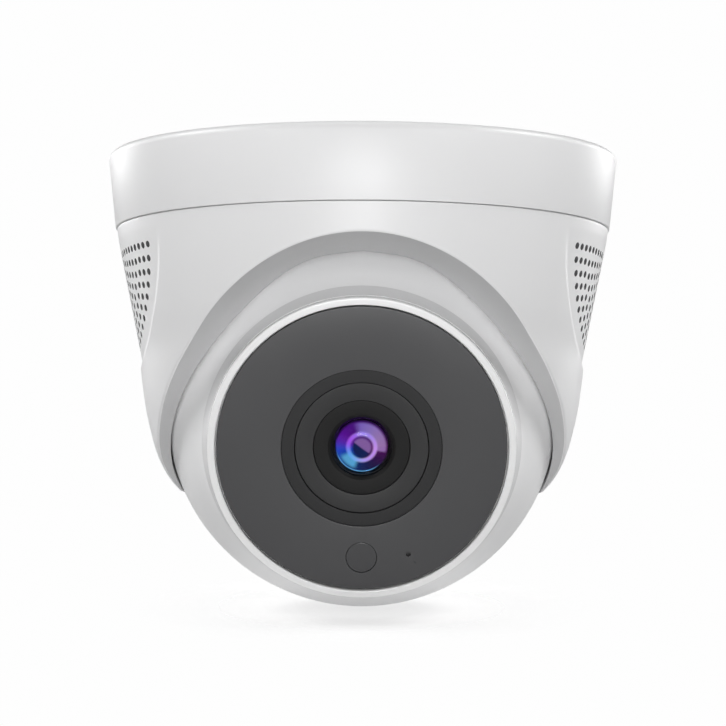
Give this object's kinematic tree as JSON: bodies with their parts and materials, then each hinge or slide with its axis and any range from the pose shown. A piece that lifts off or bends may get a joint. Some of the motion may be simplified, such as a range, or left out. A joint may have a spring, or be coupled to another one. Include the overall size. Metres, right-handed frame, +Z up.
{
  "type": "security camera",
  "caption": "White ceiling security camera: a round base ring, a turning hooded shell with side grilles, and an eyeball with a dark front panel and lens that tilts and rolls.",
  "frame": {"origin": "centre of the face that lies against the ceiling", "axes": "+Z up into the ceiling, the lens looks towards -Y and 19 degrees below the horizon at rest, +X is to the right of someone looking at the lens"},
  "size_m": [0.094, 0.094, 0.0837],
  "materials": {
    "white_plastic": "fine satin",
    "bright_ring": "gloss",
    "dark_panel": "smoked, smooth",
    "black_plastic": "satin",
    "inner_nylon": "satin",
    "plated_steel": "zinc plated",
    "brass": "satin",
    "aluminium": "satin",
    "circuit_board": "solder mask",
    "chip_black": "moulded",
    "rubber": "matt",
    "lens_glass": "coated",
    "dust_mesh": "woven"
  },
  "bodies": {
    "base": {"mounting_plate": "plated_steel", "base_ring": "white_plastic", "cable_grommet": "rubber", "base_screw_1": "plated_steel", "base_screw_2": "plated_steel", "base_screw_3": "plated_steel"},
    "shell_body": {"shell": "white_plastic", "pan_turntable": "inner_nylon", "pan_retainer": "inner_nylon", "left_dust_mesh": "dust_mesh", "right_dust_mesh": "dust_mesh", "speaker": "black_plastic", "left_tilt_pin": "plated_steel", "right_tilt_pin": "plated_steel", "pan_screw_1": "plated_steel", "pan_screw_2": "plated_steel", "pan_screw_3": "plated_steel"},
    "yoke_body": {"tilt_yoke": "plated_steel", "roll_washer": "plated_steel"},
    "ball": {"ball_front_shell": "white_plastic", "ball_rear_shell": "white_plastic", "bezel_ring": "bright_ring", "board_post_1": "brass", "board_post_2": "brass", "board_post_3": "brass", "board_post_4": "brass", "board_screw_1": "plated_steel", "board_screw_2": "plated_steel", "board_screw_3": "plated_steel", "board_screw_4": "plated_steel", "card_slot": "plated_steel", "focus_ring": "black_plastic", "front_lens": "lens_glass", "front_panel": "dark_panel", "heat_sink": "aluminium", "image_sensor": "chip_black", "infrared_filter": "lens_glass", "infrared_lamp_1": "lens_glass", "infrared_lamp_2": "lens_glass", "infrared_lamp_3": "lens_glass", "infrared_lamp_4": "lens_glass", "infrared_lamp_5": "lens_glass", "infrared_lamp_6": "lens_glass", "lamp_board": "circuit_board", "lens_barrel": "black_plastic", "lens_holder": "black_plastic", "lens_hood": "black_plastic", "lens_shroud": "black_plastic", "light_sensor": "brass", "main_board": "circuit_board", "microphone": "aluminium", "power_plug": "inner_nylon", "processor": "chip_black", "radio_aerial": "brass", "radio_module": "plated_steel", "rear_lens": "lens_glass", "roll_hub": "inner_nylon", "roll_nut": "plated_steel", "sensor_board": "circuit_board", "sensor_window": "dark_panel"}
  },
  "joints": [
    {"name": "pan", "type": "hinge", "parent": "base", "child": "shell_body", "pos_m": [0, 0, -0.0118], "axis": [0, 0, 1], "range_deg": [-175, 175]},
    {"name": "tilt", "type": "hinge", "parent": "shell_body", "child": "yoke_body", "pos_m": [0, 0, -0.0478], "axis": [1, 0, 0], "range_deg": [-8, 61]},
    {"name": "roll", "type": "hinge", "parent": "yoke_body", "child": "ball", "pos_m": [0, 0, -0.0478], "axis": [0, -0.9455, -0.3256], "range_deg": [-170, 170]}
  ]
}
